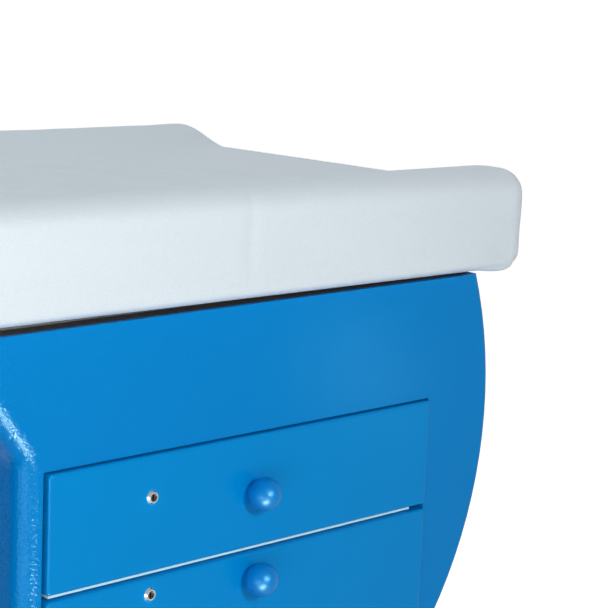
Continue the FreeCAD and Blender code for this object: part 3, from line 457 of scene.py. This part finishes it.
# Rounds of the cover: round its upright corners, over its top and under its lower edges
END_ROUND = 0.024
END_LOW_RUN = 0.032
END_HIGH_RUN = 0.034
SIDE_ROUND = 0.024
SIDE_HIGH_RUN = 0.034
TOP_ROUND = 0.028
LOW_ROUND = 0.010
LOW_END_ROUND = 0.022
LOW_END_ZONE = (PAD_HALF_LENGTH - 0.10, 0.07)

# Bulge of the long sides, and how the ends are drawn in and sag at their lower edge
SIDE_BOW = 0.250
BOW_ZONE = (0.2, 0.09)
END_DRAW = 0.006
DRAW_ZONE = (0.8, 0.1)
DRAW_HEIGHT = 0.085
DRAW_TOP = 0.03
END_SAG = 0.004
SAG_ZONE = (0.84, 0.05)


def dish_drop(y):
    """How far the top lies below its crest."""
    crest, slope = (FRONT_CREST, FRONT_SLOPE) if y < 0.0 else (BACK_CREST, BACK_SLOPE)
    return DISH_DEPTH * smooth((PAD_HALF_WIDTH - crest - abs(y)) / slope)


def pad_surface(x, y, z):
    """A point of the pad's block moved to its place on the contoured pad."""
    middle = (PAD_TOP + PAD_LOW) / 2.0
    low_round = LOW_ROUND + (LOW_END_ROUND - LOW_ROUND) * grow(abs(x), LOW_END_ZONE)
    low = smooth((middle - z) / (middle - PAD_LOW))
    high = smooth((z - middle) / (PAD_TOP - middle))
    end_round = END_ROUND + (END_LOW_RUN - END_ROUND) * low + (END_HIGH_RUN - END_ROUND) * high
    side_round = SIDE_ROUND + (SIDE_HIGH_RUN - SIDE_ROUND) * high
    radii = (end_round, side_round, TOP_ROUND if z > middle else low_round)
    limits = (PAD_HALF_LENGTH, PAD_HALF_WIDTH, (PAD_TOP - PAD_LOW) / 2.0)
    centred = (x, y, z - middle)
    kept = [max(r - limit, min(limit - r, c)) for c, r, limit in zip(centred, radii, limits)]
    beyond = Vector([(c - k) / r for c, k, r in zip(centred, kept, radii)])
    if beyond.length > 1e-9:
        beyond.normalize()
    x, y, z = (k + r * b for k, r, b in zip(kept, radii, beyond))
    bow = math.sqrt(SIDE_BOW**2 - z * z) - SIDE_BOW
    y += math.copysign(bow * grow(abs(y), BOW_ZONE), y)
    draw = END_DRAW * smooth((DRAW_TOP - z) / DRAW_HEIGHT)
    x -= math.copysign(draw * grow(abs(x), DRAW_ZONE), x)
    height = z + middle - PAD_LOW
    sag = END_SAG * low * grow(abs(x), SAG_ZONE)
    return Vector((x, y, PAD_LOW - sag + height * (1.0 - dish_drop(y) / (PAD_TOP - PAD_LOW))))


def pad_block():
    """The closed pad as an even mesh of four-sided faces."""
    xs = stations(PAD_HALF_LENGTH, LENGTH_STEP)
    ys = stations(PAD_HALF_WIDTH, WIDTH_STEP)
    zs = [PAD_LOW + (PAD_TOP - PAD_LOW) * i / LEVELS for i in range(LEVELS + 1)]
    tops = (len(xs) - 1, len(ys) - 1, LEVELS)
    block = bmesh.new()
    made = {}

    def corner(*spot):
        if spot not in made:
            i, j, k = spot
            made[spot] = block.verts.new(pad_surface(xs[i], ys[j], zs[k]))
        return made[spot]

    for axis in range(3):
        first, second = (axis + 1) % 3, (axis + 2) % 3
        for end in (0, tops[axis]):
            for a in range(tops[first]):
                for b in range(tops[second]):
                    ring = []
                    for da, db in ((0, 0), (1, 0), (1, 1), (0, 1)):
                        spot = [0, 0, 0]
                        spot[axis], spot[first], spot[second] = end, a + da, b + db
                        ring.append(corner(*spot))
                    block.faces.new(ring if end else ring[::-1])
    mesh = bpy.data.meshes.new("pad_cover")
    block.to_mesh(mesh)
    block.free()
    return mesh


# Cloth: frames to settle, the most that the cover may move, and the height of its held part
CLOTH_FRAMES = 20
SWELL_CAP = 0.0018
HELD_HEIGHT = 0.0005


def settle(piece):
    """Let the cover swell over its filling, with its underside held."""
    start = [vertex.co.copy() for vertex in piece.data.vertices]
    held = PAD_LOW + HELD_HEIGHT
    under = [vertex.index for vertex in piece.data.vertices if vertex.co.z < held]
    piece.vertex_groups.new(name="underside").add(under, 1.0, "REPLACE")
    cloth = piece.modifiers.new("stuffing", "CLOTH")
    cloth.settings.quality = 4
    cloth.settings.mass = 0.4
    cloth.settings.tension_stiffness = 30.0
    cloth.settings.compression_stiffness = 30.0
    cloth.settings.bending_stiffness = 2.0
    cloth.settings.shrink_min = -0.012
    cloth.settings.use_pressure = True
    cloth.settings.uniform_pressure_force = 4.0
    cloth.settings.effector_weights.gravity = 0.0
    cloth.settings.vertex_group_mass = "underside"
    cloth.point_cache.frame_start = 1
    cloth.point_cache.frame_end = CLOTH_FRAMES
    for step in range(1, CLOTH_FRAMES + 1):
        scene.frame_set(step)
    settled = piece.evaluated_get(bpy.context.evaluated_depsgraph_get())
    moved = [vertex.co.copy() for vertex in settled.to_mesh().vertices]
    settled.to_mesh_clear()
    piece.modifiers.clear()
    piece.vertex_groups.clear()
    scene.frame_set(1)
    for vertex, before, after in zip(piece.data.vertices, start, moved):
        swell = after - before
        if swell.length > SWELL_CAP:
            swell *= SWELL_CAP / swell.length
        vertex.co = before + swell


def open_underside(mesh):
    """Leave only the hem under the board, with a turned edge."""
    cover = bmesh.new()
    cover.from_mesh(mesh)
    inside = [
        face for face in cover.faces
        if face.normal.z < -0.9 and abs(face.calc_center_median().y) < PAD_HALF_WIDTH - COVER_HEM
        and abs(face.calc_center_median().x) < PAD_HALF_LENGTH - COVER_HEM
    ]
    bmesh.ops.delete(cover, geom=inside, context="FACES")
    edge = [e for e in cover.edges if e.is_boundary]
    lip = bmesh.ops.extrude_edge_only(cover, edges=edge)
    for item in lip["geom"]:
        if isinstance(item, bmesh.types.BMVert):
            item.co.z = 0.0
    bmesh.ops.recalc_face_normals(cover, faces=cover.faces)
    cover.to_mesh(mesh)
    cover.free()


# Folds in the dish: a slow ripple, and thin creases where a second noise passes zero. They run
# aslant across the pad, and fade to its ends, to the front crest and up the back slope.
FOLD_LIFT = 0.0028
FOLD_SINK = 0.0034
FOLD_EDGE = 0.22
FOLD_RUN = (0.55, -0.83)
TOP_ZONE = (0.07, 0.02)
FRONT_FADE = (0.255, 0.035)
BACK_FADE = (0.14, 0.08)
END_FADE = (0.6, 0.2)

# Long sides: one upright crease, and a slow wave
SIDE_ZONE = (0.27, 0.02)
CREASE_X = 0.475
CREASE_SINK = 0.0011
CREASE_WIDTH = 0.007
CREASE_BEND = 0.006
CREASE_ZONE = (0.01, 0.03)
WAVE_LIFT = 0.0006

# Lower corners: small gathers, in radians of wave per metre
GATHER_LIFT = 0.0003
GATHER_WAVES = 620.0
GATHER_END = (0.86, 0.05)
GATHER_SIDE = (0.22, 0.06)
GATHER_TOP = 0.055
GATHER_HEIGHT = 0.05


def ripple(first, second, cells, seed):
    """Smooth noise on two lengths, with its cells per metre of each."""
    return noise.noise(Vector((first * cells[0], second * cells[1], seed)))


def dish_fold(x, y, z):
    """Height of the folds in the dish."""
    along = FOLD_RUN[0] * x + FOLD_RUN[1] * y
    across = -FOLD_RUN[1] * x + FOLD_RUN[0] * y
    crease = ripple(along, across, (5.0, 22.0), 5.4) / FOLD_EDGE
    patch = smooth(0.5 + 2.0 * ripple(along, across, (7.0, 9.0), 7.7))
    height = FOLD_LIFT * ripple(along, across, (8.0, 40.0), 0.3)
    height -= FOLD_SINK * patch * math.exp(-crease * crease)
    in_dish = (1.0 - grow(-y, FRONT_FADE)) * (1.0 - grow(y, BACK_FADE))
    return grow(z, TOP_ZONE) * in_dish * height * (1.0 - grow(abs(x), END_FADE))


def side_fold(x, y, z):
    """Height of the slow wave and the upright crease on the long sides."""
    bend = CREASE_BEND * ripple(z, y, (14.0, 3.0), 2.0)
    off = (x - CREASE_X - bend) / CREASE_WIDTH
    crease = CREASE_SINK * grow(z, CREASE_ZONE) * math.exp(-off * off)
    return grow(abs(y), SIDE_ZONE) * (WAVE_LIFT * ripple(x, z, (6.0, 9.0), 8.0) - crease)


def corner_gather(x, y, z):
    """Height of the gathers at the lower corners."""
    near = grow(abs(x), GATHER_END) * grow(abs(y), GATHER_SIDE)
    near *= smooth((GATHER_TOP - z) / GATHER_HEIGHT)
    return GATHER_LIFT * near * math.sin(GATHER_WAVES * (abs(x) + abs(y)))


def fold_height(place):
    """How far small folds lift the vinyl at a place on the pad."""
    return dish_fold(*place) + side_fold(*place) + corner_gather(*place)


def add_folds(mesh):
    """Work the small folds into the cover."""
    places = [vertex.co + vertex.normal * fold_height(vertex.co) for vertex in mesh.vertices]
    for vertex, place in zip(mesh.vertices, places):
        vertex.co = place


def finer(piece):
    """The piece's mesh, rounded and subdivided once."""
    rounder = piece.modifiers.new("rounder", "SUBSURF")
    rounder.levels = 1
    graph = bpy.context.evaluated_depsgraph_get()
    mesh = bpy.data.meshes.new_from_object(piece.evaluated_get(graph))
    piece.modifiers.clear()
    return mesh


def make_pad():
    """The upholstered pad, settled, opened underneath and laid on its slope."""
    mesh = pad_block()
    pad = bpy.data.objects.new("pad_cushion", mesh)
    scene.collection.objects.link(pad)
    settle(pad)
    open_underside(mesh)
    mesh = finer(pad)
    pad.data = mesh
    add_folds(mesh)
    mesh.transform(pad_to_table())
    mesh.materials.append(vinyl)
    for face in mesh.polygons:
        face.use_smooth = True
    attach(pad, "cabinet")
    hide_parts("pad_cover", "pad_foam")


# Floor, light and camera

FLOOR_SIZE = 120.0
FLOOR_ROUGHNESS = 0.75
FLOOR_GLOW = 0.75
ROOM_LIGHT = 0.3


def seen_by_viewer(tree):
    """1 for rays that come from the camera, straight or by a mirror or glass."""
    path = tree.nodes.new("ShaderNodeLightPath").outputs
    shiny = math_node(tree, "ADD", path["Is Glossy Ray"], path["Is Transmission Ray"])
    clamp = tree.nodes.new("ShaderNodeClamp")
    tree.links.new(math_node(tree, "ADD", path["Is Camera Ray"], shiny), clamp.inputs[0])
    return clamp.outputs[0]


def make_floor():
    """A pale floor that looks white to the camera and keeps the shadow."""
    bpy.ops.mesh.primitive_plane_add(size=FLOOR_SIZE)
    floor = bpy.context.object
    floor.name = "floor"
    material, tree, principled, place = new_finish("pale_floor", Specular_IOR_Level=0.1)
    tone(tree, principled, place, (0.8, 0.8, 0.8), 0.8, 0.02, FLOOR_ROUGHNESS, 0.02)
    seen = seen_by_viewer(tree)
    glow = tree.nodes.new("ShaderNodeEmission")
    tree.links.new(math_node(tree, "MULTIPLY", seen, FLOOR_GLOW), glow.inputs["Strength"])
    both = tree.nodes.new("ShaderNodeAddShader")
    tree.links.new(principled.outputs[0], both.inputs[0])
    tree.links.new(glow.outputs[0], both.inputs[1])
    tree.links.new(both.outputs[0], tree.nodes["Material Output"].inputs["Surface"])
    floor.data.materials.append(material)


def make_world():
    """White behind the table, and a dim even light from all round."""
    world = bpy.data.worlds.new("studio")
    scene.world = world
    world.use_nodes = True
    tree = world.node_tree
    background = tree.nodes["Background"]
    background.inputs["Color"].default_value = (1.0, 1.0, 1.0, 1.0)
    level = tree.nodes.new("ShaderNodeMapRange")
    level.inputs["To Min"].default_value = ROOM_LIGHT
    level.inputs["To Max"].default_value = 1.0
    tree.links.new(seen_by_viewer(tree), level.inputs["Value"])
    tree.links.new(level.outputs[0], background.inputs["Strength"])


def softbox(name, place, target, width, height, power, colour=(1.0, 1.0, 1.0)):
    """A flat studio lamp that faces a point."""
    lamp = bpy.data.lights.new(name, "AREA")
    lamp.color = colour
    lamp.shape = "RECTANGLE"
    lamp.size = width
    lamp.size_y = height
    lamp.energy = power
    holder = bpy.data.objects.new(name, lamp)
    scene.collection.objects.link(holder)
    holder.location = place
    holder.rotation_mode = "QUATERNION"
    holder.rotation_quaternion = (Vector(target) - Vector(place)).to_track_quat("-Z", "Y")
    return holder


def card(name, place, target, width, height, power, colour=(1.0, 1.0, 1.0)):
    """A bright card that only shows in the gloss."""
    softbox(name, place, target, width, height, power, colour).visible_diffuse = False


# Camera: fitted to the photograph, with its focal length in pixels of the picture
CAMERA_PLACE = Vector((-0.9797, -1.8063, 1.0800))
CAMERA_YAW = math.radians(45.673)
CAMERA_PITCH = math.radians(10.124)
CAMERA_ROLL = math.radians(2.378)
FOCAL_PIXELS = 2052.7
PICTURE_PIXELS = 608.0
SENSOR = 36.0


def make_camera():
    """The photograph's point of view."""
    ahead = Vector((
        math.sin(CAMERA_YAW) * math.cos(CAMERA_PITCH),
        math.cos(CAMERA_YAW) * math.cos(CAMERA_PITCH),
        -math.sin(CAMERA_PITCH),
    ))
    level = Vector((math.cos(CAMERA_YAW), -math.sin(CAMERA_YAW), 0.0))
    above = level.cross(ahead)
    right = level * math.cos(CAMERA_ROLL) + above * math.sin(CAMERA_ROLL)
    up = above * math.cos(CAMERA_ROLL) - level * math.sin(CAMERA_ROLL)
    lens = bpy.data.cameras.new("camera")
    lens.sensor_width = SENSOR
    lens.lens = SENSOR * FOCAL_PIXELS / PICTURE_PIXELS
    camera = bpy.data.objects.new("camera", lens)
    scene.collection.objects.link(camera)
    turn = Matrix((right, up, -ahead)).transposed().to_4x4()
    camera.matrix_world = Matrix.Translation(CAMERA_PLACE) @ turn
    scene.camera = camera


dress_frame()
make_pad()
make_floor()
make_world()
# Lamps and cards: place, target, width, height in metres, power in watts, colour
softbox("key", (0.05, -2.05, 1.32), (0.42, -0.29, 0.6), 0.4, 0.4, 18.0)
softbox("left_low", (-0.95, -1.25, 0.3), (0.2, -0.28, 0.5), 1.0, 0.4, 6.5)
softbox("overhead", (0.3, 1.2, 3.0), (0.3, 0.0, 0.8), 1.8, 1.8, 21.5, (0.88, 0.98, 1.02))
card("left_card", (-0.72, -0.78, 0.17), (0.2, -0.28, 0.5), 1.1, 0.5, 24.0)
card("right_card", (2.3, -1.8, 0.15), (0.68, -0.29, 0.64), 0.1, 0.22, 0.85, (0.3, 0.85, 1.0))
card("front_card", (0.19, -0.86, 0.02), (0.19, -0.85, 1.0), 0.32, 0.6, 75.0, (1.0, 0.85, 0.7))
card("knob_card", (0.37, -1.6, 0.84), (0.5, -0.31, 0.5), 0.5, 0.5, 60.0)
make_camera()
scene.view_settings.view_transform = "Standard"
